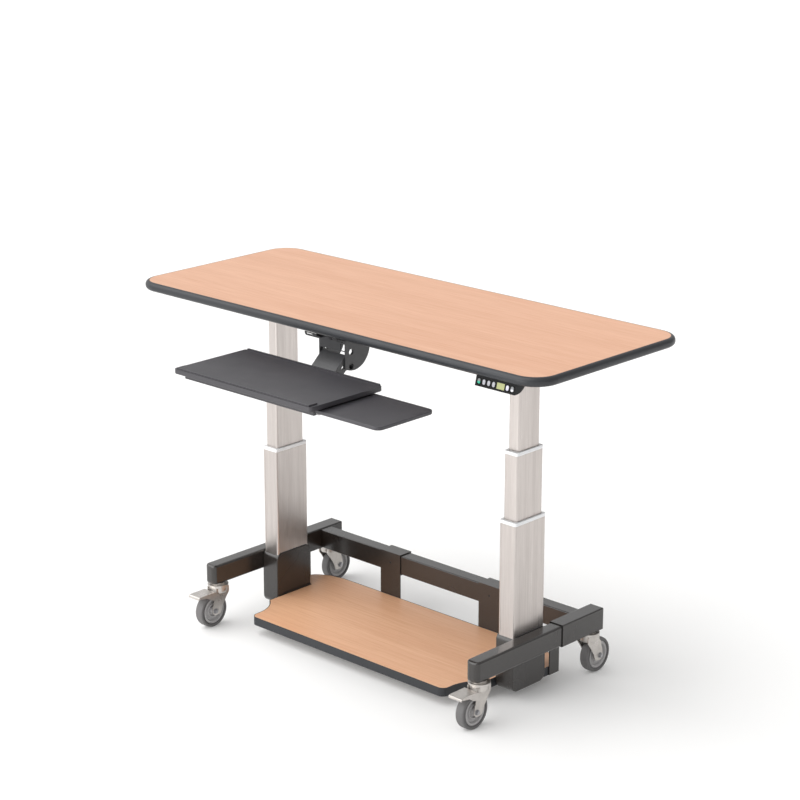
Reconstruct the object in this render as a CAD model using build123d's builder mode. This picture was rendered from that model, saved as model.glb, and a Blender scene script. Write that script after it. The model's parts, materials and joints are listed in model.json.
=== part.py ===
"""Mobile sit-stand cart: lifting columns on a caster base, a worktop, a low shelf and a keyboard arm.

Millimetres. +X is the cart's right, +Y its back and +Z up. The origin is on the floor, midway between the
two columns.
"""

import os
from math import acos, cos, degrees, radians, sin

from build123d import *

# Worktop
worktop_length = 1524
worktop_depth = 610
worktop_height = 1023
board_thickness = 25.4
worktop_corner = 75
bumper_overhang = 12

# Lifting columns: outer, middle and inner tube
column_x = 462.5
outer_size = (57.5, 126.4)
middle_step = (11.5, 18.4)
inner_step = (10, 20)
motor_step = (11.5, 16.4)
motor_height = 54
tube_wall = 2.5
tube_corner = 6
seam_inset = 9
seam_width = 1.8
end_plate_inset = 1
end_plate_thickness = 4
outer_top = 520
middle_top = 715
middle_length = 440
inner_bottom = 469.6
ring_height = 10
ring_skirt = 50
ring_lip = 0.5
slide_gap = 0.3
lift_down = 330
lift_up = 270

# Side rails, corner sleeves and crossbar
rail_width = 43
rail_height = 60
rail_top = 192
rail_front = -265
rail_rear = 262
rail_wall = 2.5
rail_cap = 3
rail_corner = 3.5
sleeve_front = 88
sleeve_rear = 267
sleeve_wall = 2.5
sleeve_gap = 0.15
crossbar_front = 176
crossbar_depth = 43
crossbar_height = 59
leg_plate_thickness = 3
leg_plate_width = 41

# Column housings
housing_width = 63
housing_depth = 138
housing_floor = 11
housing_foot_radius = 22
housing_corner = 3

# Shelf
shelf_top = 58
shelf_thickness = 25
shelf_front = -226
shelf_half_front = 382
shelf_corner = 22
shelf_swerve_front = -195
shelf_swerve_radius = 108
shoulder_front = 131
shoulder_length = 100
shoulder_radius = 40
shelf_gap = 0.5
shelf_band = 2
bracket_x = 196
bracket_width = 80
bracket_wall = 3

# Casters
wheel_radius = 51
tyre_width = 28
tyre_height = 11
pivot_y = 232
trail = 30
caster_height = 122
plate_radius = 31
plate_thickness = 5
drum_radius = 27
drum_height = 15
crown_thickness = 4
fork_gap = 34
fork_wall = 3
king_pin_radius = 8
axle_radius = 5
pin_clearance = 0.05
body_gap = 0.3
leg_radius = 13
nut_radius = 8
nut_height = 5
web_half = 8
pedal_thickness = 2.5
pedal_height = 109
pedal_reach = 97
pedal_pin = (22, 92)
pedal_pin_radius = 3
pedal_pin_length = 3.5

# Underframe of the worktop
head_width = 64
head_length = 440
head_height = 36
head_taper = 120
head_wall = 3
beam_front = 176
beam_depth = 40
beam_height = 30
beam_wall = 2
box_centre = (250, 105)
box_size = (230, 90)
box_height = 38
inlet_size = (30, 22)
inlet_depth = 10
inlet_wall = 3

# Drive inside each column
screw_radius = 6
drive_tube_radius = 10
thrust_tube_radius = 13.5
drive_tube_length = 375
screw_top = 420
thrust_tube_bottom = 470

# Handset under the front edge
handset_left = 551
handset_width = 132
handset_height = 26
handset_depth = 46
handset_front = -303
handset_tilt = 15
button_height = 16.5
button_width = 11.5
button_depth = 2.4
button_proud = 1.2
button_travel = 0.8
button_gap = 0.35
button_corner = 2.6
display_size = (25, 16)
display_depth = 2

# Keyboard mechanism
track_front = -290
track_rear = 168
track_width = 64
track_height = 12
track_wall = 2.5
track_slot = 30
seat_radius = 34
seat_thickness = 3
swivel_pin_radius = 8
swivel_head_radius = 12
swivel_head_height = 3
swivel_y = -205
glide_length = 120
yoke_half = 50
yoke_wall = 3
yoke_front = -260
yoke_cheek_radius = 62
yoke_cheek_centre = (-227.5, 957)
front_plate_left = -106
front_plate_drop = 10
apron_bottom = 951
apron_right = 32
apron_rod_radius = 1.5
arm_pivot = (-237, 948)
link_drop = 41
arm_reach = 150
arm_slope = 42
arm_half = 45
arm_wall = 2.5
arm_top = 6
arm_plate_start = 16
arm_boss_radius = 14
arm_belly = 26
arm_belly_start = 64
head_clearance = 16
link_outside = 34
link_wall = 3
link_rod_radius = 4
head_outside = 40
head_plate = 3
tilt_pin_radius = 5
tilt_ear_outside = 44
tilt_ear_wall = 3
tilt_ear_radius = 11
pivot_tube_radius = 11
pivot_tube_wall = 2.5

# Keyboard tray and mouse tray
tray_width = 520
tray_shift = 6
tray_back = -340
tray_depth = 265
tray_top = 919
tray_thickness = 14
tray_lip = 4
back_lip = 5
tray_corner = 9
frame_lip = 10
frame_rib = 110
mouse_corner = 20
palm_strip_depth = 37
frame_front = -573
frame_back = -357
frame_bottom = 886
frame_length = 490
frame_wall = 3
tilt_pivot = (-388, 868)
mouse_thickness = 10
mouse_top = 902
mouse_left = 190
mouse_right = 470

# Screws
screw_hole = 3
socket_radius = 1.7
wood_screw_radius = 2.5
wood_screw_head = 4.5
wood_screw_reach = 14

# Values that follow from the sizes above
middle_size = (outer_size[0] - middle_step[0], outer_size[1] - middle_step[1])
inner_size = (middle_size[0] - inner_step[0], middle_size[1] - inner_step[1])
motor_size = (outer_size[0] - motor_step[0], outer_size[1] - motor_step[1])
rim_radius = wheel_radius - tyre_height
underside = worktop_height - board_thickness
rail_bottom = rail_top - rail_height
rail_x = column_x + housing_width / 2 + rail_width / 2
housing_bottom = shelf_top - shelf_thickness - 5
housing_top = rail_top + 1
sleeve_width = rail_width + 2 * (sleeve_gap + sleeve_wall)
sleeve_height = rail_height + 2 * (sleeve_gap + sleeve_wall)
sleeve_middle = rail_bottom + rail_height / 2
sleeve_bottom = sleeve_middle - sleeve_height / 2
sleeve_inside_x = rail_x - sleeve_width / 2
shelf_bottom = shelf_top - shelf_thickness
shelf_back = crossbar_front
tube_foot = housing_bottom + housing_floor
arm_cos = cos(radians(arm_slope))
arm_sin = sin(radians(arm_slope))
arm_tip = (arm_pivot[0] - arm_reach * arm_cos, arm_pivot[1] - arm_reach * arm_sin)
link_pivot = (arm_pivot[0], arm_pivot[1] - link_drop)
link_tip = (arm_tip[0], arm_tip[1] - link_drop)
tray_bottom = tray_top - tray_thickness
track_bottom = underside - track_height
bracket_screw_z = sleeve_middle
shelf_screw_z = shelf_bottom + shelf_thickness / 2
shelf_screw_xs = [side * bracket_x + shift for side in (-1, 1) for shift in (-26, 26)]
head_screw_ys = (-190, -80, 80, 190)
track_screw_ys = (track_front + 12, track_rear - 12)
button_xs = (562.7, 579.3, 595.2, 611.3, 656.8, 672.6)
button_names = ("save", "preset_one", "preset_two", "preset_three", "raise", "lower")
display_x = 634.3


def save(builder, label):
    """Label a finished piece and write its STEP file."""
    builder.part.label = label
    export_step(builder.part, f"parts/{label}.step")


def side_plane(x):
    """A plane at x whose own x runs along +Y and whose own y runs along +Z."""
    return Plane(origin=(x, 0, 0), x_dir=(0, 1, 0), z_dir=(1, 0, 0))


def arm_plane(x, pivot):
    """A plane at x with its own x down the arm from the pivot and its own y square to the arm, upwards."""
    return Plane(origin=(x, *pivot), x_dir=(0, -arm_cos, -arm_sin), z_dir=(-1, 0, 0))


def pair(x):
    """The two places that mirror each other across the cart's middle."""
    return Locations((-x, 0), (x, 0))


# ---------------------------------------------------------------- base frame


def bracket_screw_places():
    """Screw centres in the brackets' front plates: into the crossbar first, then into the shelf."""
    into_crossbar = [(-bracket_x, bracket_screw_z), (bracket_x, bracket_screw_z)]
    return into_crossbar + [(x, shelf_screw_z) for x in shelf_screw_xs]


def base_frame():
    rail_bore = (rail_width - 2 * rail_wall, rail_height - 2 * rail_wall)
    with BuildPart() as side_rails:
        with BuildSketch(Plane.XZ.offset(-rail_rear)):
            with Locations((-rail_x, sleeve_middle), (rail_x, sleeve_middle)):
                RectangleRounded(rail_width, rail_height, rail_corner)
                RectangleRounded(*rail_bore, rail_corner - rail_wall, mode=Mode.SUBTRACT)
        extrude(amount=rail_rear - rail_front - rail_cap)
        with BuildSketch(Plane.XZ.offset(-rail_front - rail_cap)):
            with Locations((-rail_x, sleeve_middle), (rail_x, sleeve_middle)):
                RectangleRounded(rail_width, rail_height, rail_corner)
        extrude(amount=rail_cap)
        front_corners = side_rails.edges().filter_by(Axis.Z).group_by(Axis.Y)[0]
        fillet(front_corners, radius=rail_cap - 0.5)
    save(side_rails, "side_rails")

    leg_plate_x = sleeve_inside_x + leg_plate_thickness / 2
    leg_plate_y = sleeve_front + leg_plate_width / 2
    with BuildPart() as corner_sleeves:
        with BuildSketch(Plane.XZ.offset(-sleeve_rear)):
            with Locations((-rail_x, sleeve_middle), (rail_x, sleeve_middle)):
                RectangleRounded(sleeve_width, sleeve_height, 4)
        extrude(amount=sleeve_rear - sleeve_front)
        fillet(corner_sleeves.faces().sort_by(Axis.Y)[-2:].edges(), radius=2)
        with BuildSketch(Plane.XZ.offset(-rail_rear - sleeve_gap)):
            with Locations((-rail_x, sleeve_middle), (rail_x, sleeve_middle)):
                RectangleRounded(rail_width + 2 * sleeve_gap, rail_height + 2 * sleeve_gap, rail_corner)
        extrude(amount=rail_rear + sleeve_gap - sleeve_front, mode=Mode.SUBTRACT)
        with BuildSketch(Plane.XY.offset(shelf_bottom)):
            with Locations((-leg_plate_x, leg_plate_y), (leg_plate_x, leg_plate_y)):
                Rectangle(leg_plate_thickness, leg_plate_width)
        extrude(amount=sleeve_bottom + sleeve_wall / 2 - shelf_bottom)
    save(corner_sleeves, "corner_sleeves")

    crossbar_bore = (crossbar_depth - 2 * rail_wall, crossbar_height - 2 * rail_wall)
    with BuildPart() as rear_crossbar:
        with BuildSketch(Plane.YZ.offset(-sleeve_inside_x)):
            with Locations((crossbar_front + crossbar_depth / 2, sleeve_middle)):
                RectangleRounded(crossbar_depth, crossbar_height, rail_corner)
                RectangleRounded(*crossbar_bore, rail_corner - rail_wall, mode=Mode.SUBTRACT)
        extrude(amount=2 * sleeve_inside_x)
    save(rear_crossbar, "rear_crossbar")

    bracket_foot_y = crossbar_front - bracket_wall / 2
    with BuildPart() as shelf_brackets:
        for x in (-bracket_x, bracket_x):
            with BuildSketch(Plane.YZ.offset(x - bracket_width / 2)):
                with Locations((crossbar_front + crossbar_depth / 2, sleeve_middle)):
                    Rectangle(crossbar_depth + 2 * bracket_wall, crossbar_height + 2 * bracket_wall)
                    Rectangle(crossbar_depth, crossbar_height, mode=Mode.SUBTRACT)
            extrude(amount=bracket_width)
        with BuildSketch(Plane.XY.offset(shelf_bottom)):
            with Locations((-bracket_x, bracket_foot_y), (bracket_x, bracket_foot_y)):
                Rectangle(bracket_width, bracket_wall)
        extrude(amount=sleeve_middle - crossbar_height / 2 - shelf_bottom)
        with BuildSketch(Plane.XZ.offset(-crossbar_front)):
            with Locations(*bracket_screw_places()):
                Circle(screw_hole)
        extrude(amount=bracket_wall, mode=Mode.SUBTRACT)
    save(shelf_brackets, "shelf_brackets")

    with BuildPart() as base_screws:
        with BuildSketch(Plane.XZ.offset(-crossbar_front)):
            with Locations(*bracket_screw_places()):
                Circle(screw_hole)
        extrude(amount=bracket_wall)
        with BuildSketch(Plane.XZ.offset(-crossbar_front + bracket_wall)):
            with Locations(*bracket_screw_places()[:2]):
                RegularPolygon(socket_radius, 6)
        extrude(amount=-bracket_wall / 2, mode=Mode.SUBTRACT)
        with BuildSketch(Plane.XZ.offset(-crossbar_front)):
            with Locations(*bracket_screw_places()[2:]):
                RegularPolygon(socket_radius, 6)
        extrude(amount=bracket_wall / 2, mode=Mode.SUBTRACT)
    save(base_screws, "base_screws")


def shelf_outline(inset):
    """The shelf's outline, set in all round: swept out at the columns and shouldered behind."""
    notch_x = column_x - housing_width / 2 - shelf_gap
    notch_back = housing_depth / 2 + shelf_gap
    rear_x = sleeve_inside_x - shelf_gap
    bend_x = rear_x - 0.45 * shoulder_length
    back_y = shelf_back - bracket_wall
    turn = degrees(acos(1 - (notch_x - shelf_half_front) / shelf_swerve_radius))
    with BuildSketch() as outline:
        with BuildLine():
            front = Line((0, shelf_front), (shelf_half_front - shelf_corner, shelf_front))
            corner = JernArc(front @ 1, (1, 0), shelf_corner, 90)
            side = Line(corner @ 1, (shelf_half_front, shelf_swerve_front))
            swerve = JernArc(side @ 1, (0, 1), shelf_swerve_radius, -turn)
            notch_corners = [(notch_x, notch_back), (rear_x, notch_back), (rear_x, shoulder_front)]
            notch = Polyline(swerve @ 1, *notch_corners)
            shoulder = Polyline(
                notch @ 1,
                (bend_x, back_y - 0.27 * (back_y - shoulder_front)),
                (rear_x - shoulder_length, back_y),
            )
            Line(shoulder @ 1, (0, back_y))
            mirror(about=Plane.YZ)
        make_face()
        shoulder_points = outline.vertices().group_by(Axis.Y)[-3:]
        fillet([point for row in shoulder_points for point in row], radius=shoulder_radius)
        if inset:
            offset(amount=-inset, kind=Kind.INTERSECTION, mode=Mode.REPLACE)
    return outline.sketch


def shelf():
    board_outline = shelf_outline(shelf_band)
    with BuildPart() as shelf_board:
        with BuildSketch(Plane.XY.offset(shelf_bottom)):
            add(board_outline)
        extrude(amount=shelf_thickness)
    save(shelf_board, "shelf_board")

    with BuildPart() as shelf_edge_band:
        with BuildSketch(Plane.XY.offset(shelf_bottom)):
            add(shelf_outline(0))
            add(board_outline, mode=Mode.SUBTRACT)
        extrude(amount=shelf_thickness)
    save(shelf_edge_band, "shelf_edge_band")


# ---------------------------------------------------------------- columns


def tube_sketch(width, depth, wall, corner=tube_corner):
    """The section of a column tube, at the place of the current locations."""
    RectangleRounded(width, depth, corner)
    RectangleRounded(width - 2 * wall, depth - 2 * wall, corner - wall, mode=Mode.SUBTRACT)


def glide_ring(xs, outside, inside, top):
    """The plastic collar and skirt at the top of a tube, which guides the next tube."""
    collar = (outside[0] + 2 * ring_lip, outside[1] + 2 * ring_lip)
    bore = (inside[0] + 2 * slide_gap, inside[1] + 2 * slide_gap)
    skirt = (outside[0] - 2 * tube_wall, outside[1] - 2 * tube_wall)
    with BuildPart() as ring:
        with BuildSketch(Plane.XY.offset(top - ring_height)):
            with Locations(*[(x, 0) for x in xs]):
                RectangleRounded(*collar, tube_corner + ring_lip)
        extrude(amount=ring_height)
        fillet(ring.edges().group_by(Axis.Z)[-1], radius=ring_height * 0.15)
        with BuildSketch(Plane.XY.offset(top - ring_height - ring_skirt)):
            with Locations(*[(x, 0) for x in xs]):
                RectangleRounded(*skirt, tube_corner - tube_wall)
        extrude(amount=ring_skirt)
        with BuildSketch(Plane.XY.offset(top - ring_height - ring_skirt)):
            with Locations(*[(x, 0) for x in xs]):
                RectangleRounded(*bore, tube_corner)
        extrude(amount=ring_height + ring_skirt, mode=Mode.SUBTRACT)
    return ring


def columns():
    with BuildPart() as column_housings:
        for x in (-column_x, column_x):
            with BuildSketch(side_plane(x - housing_width / 2)) as flank:
                with Locations((0, (housing_top + housing_bottom) / 2)):
                    Rectangle(housing_depth, housing_top - housing_bottom)
                fillet(flank.vertices().group_by(Axis.Z)[0], radius=housing_foot_radius)
            extrude(amount=housing_width)
        fillet(column_housings.edges().filter_by(Axis.Z), radius=housing_corner)
        with BuildSketch(Plane.XY.offset(tube_foot)):
            with pair(column_x):
                RectangleRounded(*outer_size, tube_corner)
        extrude(amount=housing_top - tube_foot, mode=Mode.SUBTRACT)
    save(column_housings, "column_housings")

    outer_end = outer_top - ring_height
    with BuildPart() as outer_tubes:
        with BuildSketch(Plane.XY.offset(tube_foot)):
            with pair(column_x):
                tube_sketch(*outer_size, tube_wall)
        extrude(amount=outer_end - tube_foot)
        with BuildSketch(Plane.XY.offset(housing_top + 1)):
            for x in (-column_x, column_x):
                with Locations((x - outer_size[0] / 2 + seam_inset, -outer_size[1] / 2)):
                    Rectangle(seam_width, seam_width)
        extrude(amount=outer_end - housing_top, mode=Mode.SUBTRACT)
    save(outer_tubes, "outer_tubes")

    save(glide_ring((-column_x, column_x), outer_size, middle_size, outer_top), "outer_glide_rings")

    middle_end = middle_top - ring_height
    middle_bottom = middle_end - middle_length
    end_plate = (middle_size[0] - 2 * end_plate_inset, middle_size[1] - 2 * end_plate_inset)
    for side, x in (("left", -column_x), ("right", column_x)):
        with BuildPart() as middle_tube:
            with BuildSketch(Plane.XY.offset(middle_bottom)):
                with Locations((x, 0)):
                    tube_sketch(*middle_size, tube_wall)
            extrude(amount=middle_length)
            with BuildSketch(Plane.XY.offset(middle_bottom)):
                with Locations((x, 0)):
                    RectangleRounded(*end_plate, tube_corner - end_plate_inset)
                    Circle(screw_radius + 2, mode=Mode.SUBTRACT)
            extrude(amount=end_plate_thickness)
        save(middle_tube, f"middle_tube_{side}")
        save(glide_ring((x,), middle_size, inner_size, middle_top), f"middle_glide_ring_{side}")

        with BuildPart() as drive_tube:
            with BuildSketch(Plane.XY.offset(middle_bottom + end_plate_thickness)):
                with Locations((x, 0)):
                    Circle(drive_tube_radius)
                    Circle(screw_radius + body_gap, mode=Mode.SUBTRACT)
            extrude(amount=drive_tube_length)
        save(drive_tube, f"drive_tube_{side}")

        motor_top = tube_foot + motor_height
        with BuildPart() as lead_screw:
            with BuildSketch(Plane.XY.offset(motor_top + body_gap)):
                with Locations((x, 0)):
                    Circle(screw_radius)
            extrude(amount=screw_top - motor_top - body_gap)
            chamfer(lead_screw.edges().group_by(Axis.Z)[-1], length=1.5)
        save(lead_screw, f"lead_screw_{side}")

    with BuildPart() as lift_motors:
        with BuildSketch(Plane.XY.offset(tube_foot)):
            with pair(column_x):
                RectangleRounded(*motor_size, 8)
        extrude(amount=motor_height)
        fillet(lift_motors.edges().group_by(Axis.Z)[-1], radius=3)
    save(lift_motors, "lift_motors")

    inner_top = underside - head_wall
    with BuildPart() as inner_tubes:
        with BuildSketch(Plane.XY.offset(inner_bottom)):
            with pair(column_x):
                tube_sketch(*inner_size, tube_wall)
        extrude(amount=inner_top - inner_bottom)
    save(inner_tubes, "inner_tubes")

    with BuildPart() as thrust_tubes:
        with BuildSketch(Plane.XY.offset(thrust_tube_bottom)):
            with pair(column_x):
                Circle(thrust_tube_radius)
                Circle(drive_tube_radius + body_gap, mode=Mode.SUBTRACT)
        extrude(amount=inner_top - thrust_tube_bottom)
    save(thrust_tubes, "thrust_tubes")


# ---------------------------------------------------------------- worktop


def worktop_screw_places():
    """Screw centres under the worktop: those of the column heads first, then the keyboard track's two."""
    into_heads = [(x, y) for x in (-column_x, column_x) for y in head_screw_ys]
    return into_heads + [(0, y) for y in track_screw_ys]


def worktop():
    board_size = (worktop_length - 2 * bumper_overhang, worktop_depth - 2 * bumper_overhang)
    with BuildPart() as worktop_board:
        with BuildSketch(Plane.XY.offset(underside)):
            RectangleRounded(*board_size, worktop_corner - bumper_overhang)
        extrude(amount=board_thickness)
        with BuildSketch(Plane.XY.offset(underside)):
            with Locations(*worktop_screw_places()):
                Circle(wood_screw_radius)
        extrude(amount=wood_screw_reach, mode=Mode.SUBTRACT)
    save(worktop_board, "worktop_board")

    with BuildPart() as worktop_screws:
        with BuildSketch(Plane.XY.offset(underside - head_wall)):
            with Locations(*worktop_screw_places()[:-2]):
                Circle(wood_screw_radius)
        extrude(amount=head_wall + wood_screw_reach)
        with BuildSketch(Plane.XY.offset(underside - head_wall)):
            with Locations(*worktop_screw_places()[:-2]):
                Circle(wood_screw_head)
        extrude(amount=-wood_screw_radius)
        with BuildSketch(Plane.XY.offset(underside - track_wall)):
            with Locations(*worktop_screw_places()[-2:]):
                Circle(wood_screw_head)
        extrude(amount=track_wall)
        with BuildSketch(Plane.XY.offset(underside)):
            with Locations(*worktop_screw_places()[-2:]):
                Circle(wood_screw_radius)
        extrude(amount=wood_screw_reach)
    save(worktop_screws, "worktop_screws")

    with BuildPart() as worktop_bumper:
        with BuildSketch(Plane.XY.offset(underside)):
            RectangleRounded(worktop_length, worktop_depth, worktop_corner)
        extrude(amount=board_thickness)
        fillet(worktop_bumper.edges().filter_by(Axis.Z, reverse=True), radius=bumper_overhang - 0.5)
        with BuildSketch(Plane.XY.offset(underside)):
            RectangleRounded(*board_size, worktop_corner - bumper_overhang)
        extrude(amount=board_thickness, mode=Mode.SUBTRACT)
    save(worktop_bumper, "worktop_bumper")

    with BuildPart() as column_heads:
        with BuildSketch(Plane.XY.offset(underside - head_height)):
            with pair(column_x):
                Rectangle(head_width, head_length)
        extrude(amount=head_height)
        for way in (-1, 1):
            with BuildSketch(Plane.YZ.offset(-column_x - head_width)):
                with BuildLine():
                    tip = way * head_length / 2
                    root = way * (head_length / 2 - head_taper)
                    Polyline(
                        (root, underside - head_height),
                        (tip, underside - head_height / 3),
                        (tip, underside - head_height),
                        close=True,
                    )
                make_face()
            extrude(amount=2 * (column_x + head_width), mode=Mode.SUBTRACT)
        with BuildSketch(Plane.XY.offset(underside - head_height)):
            with pair(column_x):
                Rectangle(head_width - 2 * head_wall, head_length)
        extrude(amount=head_height - head_wall, mode=Mode.SUBTRACT)
        with BuildSketch(Plane.XY.offset(underside)):
            with Locations(*worktop_screw_places()[:-2]):
                Circle(wood_screw_radius)
        extrude(amount=-head_wall, mode=Mode.SUBTRACT)
    save(column_heads, "column_heads")

    beam_half = column_x - head_width / 2
    beam_bore = (beam_depth - 2 * beam_wall, beam_height - 2 * beam_wall)
    with BuildPart() as cross_beam:
        with BuildSketch(Plane.YZ.offset(-beam_half)):
            with Locations((beam_front + beam_depth / 2, underside - beam_height / 2)):
                RectangleRounded(beam_depth, beam_height, beam_wall + 1)
                RectangleRounded(*beam_bore, 1, mode=Mode.SUBTRACT)
        extrude(amount=2 * beam_half)
    save(cross_beam, "cross_beam")

    box_end = box_centre[0] + box_size[0] / 2
    inlet_z = underside - box_height / 2
    with BuildPart() as control_box:
        with BuildSketch(Plane.XY.offset(underside - box_height)):
            with Locations(box_centre):
                RectangleRounded(*box_size, 8)
        extrude(amount=box_height)
        fillet(control_box.edges().group_by(Axis.Z)[0], radius=5)
        with BuildSketch(Plane.YZ.offset(box_end - inlet_depth)):
            with Locations((box_centre[1], inlet_z)):
                Rectangle(*inlet_size)
        extrude(amount=inlet_depth, mode=Mode.SUBTRACT)
    save(control_box, "control_box")

    socket_size = (inlet_size[0] - 2 * inlet_wall, inlet_size[1] - 2 * inlet_wall)
    with BuildPart() as power_inlet:
        with BuildSketch(Plane.YZ.offset(box_end - inlet_depth)):
            with Locations((box_centre[1], inlet_z)):
                Rectangle(*inlet_size)
        extrude(amount=inlet_depth)
        with BuildSketch(Plane.YZ.offset(box_end - inlet_depth + inlet_wall)):
            with Locations((box_centre[1], inlet_z)):
                RectangleRounded(*socket_size, inlet_wall)
        extrude(amount=inlet_depth - inlet_wall, mode=Mode.SUBTRACT)
        with BuildSketch(Plane.YZ.offset(box_end - inlet_depth + inlet_wall)):
            with Locations((box_centre[1], inlet_z)):
                with GridLocations(7, 1, 3, 1):
                    Rectangle(2, 4)
        extrude(amount=inlet_depth / 2)
    save(power_inlet, "power_inlet")


# ---------------------------------------------------------------- handset


def face_plane(x):
    """The handset's sloping face: own x along +X, own y up the face, origin on its lower edge."""
    return Plane(
        origin=(x, handset_front, underside - handset_height),
        x_dir=(1, 0, 0),
        z_dir=(0, -cos(radians(handset_tilt)), sin(radians(handset_tilt))),
    )


def handset():
    face_length = handset_height / cos(radians(handset_tilt))
    top_front = handset_front + face_length * sin(radians(handset_tilt))
    face_middle = face_length / 2
    well = (button_width + 2 * button_gap, button_height + 2 * button_gap)
    with BuildPart() as handset_case:
        with BuildSketch(Plane.YZ.offset(handset_left)):
            with BuildLine():
                face = Line((top_front, underside), (handset_front, underside - handset_height))
                base = Line(face @ 1, (handset_front + 8, underside - handset_height))
                TangentArc(base @ 1, (handset_front + handset_depth, underside), tangent=(1, 0))
                Line((handset_front + handset_depth, underside), face @ 0)
            make_face()
        extrude(amount=handset_width)
        for x in button_xs:
            with BuildSketch(face_plane(x)):
                with Locations((0, face_middle)):
                    RectangleRounded(*well, button_corner + button_gap)
            extrude(amount=-(button_depth + button_travel), mode=Mode.SUBTRACT)
        with BuildSketch(face_plane(display_x)):
            with Locations((0, face_middle)):
                Rectangle(*display_size)
        extrude(amount=-display_depth, mode=Mode.SUBTRACT)
    save(handset_case, "handset_case")

    with BuildPart() as handset_display:
        with BuildSketch(face_plane(display_x)):
            with Locations((0, face_middle)):
                Rectangle(*display_size)
        extrude(amount=-display_depth)
    save(handset_display, "handset_display")

    for x, name in zip(button_xs, button_names):
        with BuildPart() as button:
            with BuildSketch(face_plane(x).offset(button_proud - button_depth)):
                with Locations((0, face_middle)):
                    RectangleRounded(button_width, button_height, button_corner)
            extrude(amount=button_depth)
            fillet(button.faces().sort_by(Axis.Y)[0].edges(), radius=0.8)
        save(button, f"button_{name}")


# ---------------------------------------------------------------- keyboard arm


def cross_pin(place, radius, half, mode=Mode.ADD):
    """A round bar or hole along X through the current part, centred on the cart's middle plane."""
    with Locations((0, *place)):
        Cylinder(radius, 2 * half, rotation=(0, 90, 0), mode=mode)


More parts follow.
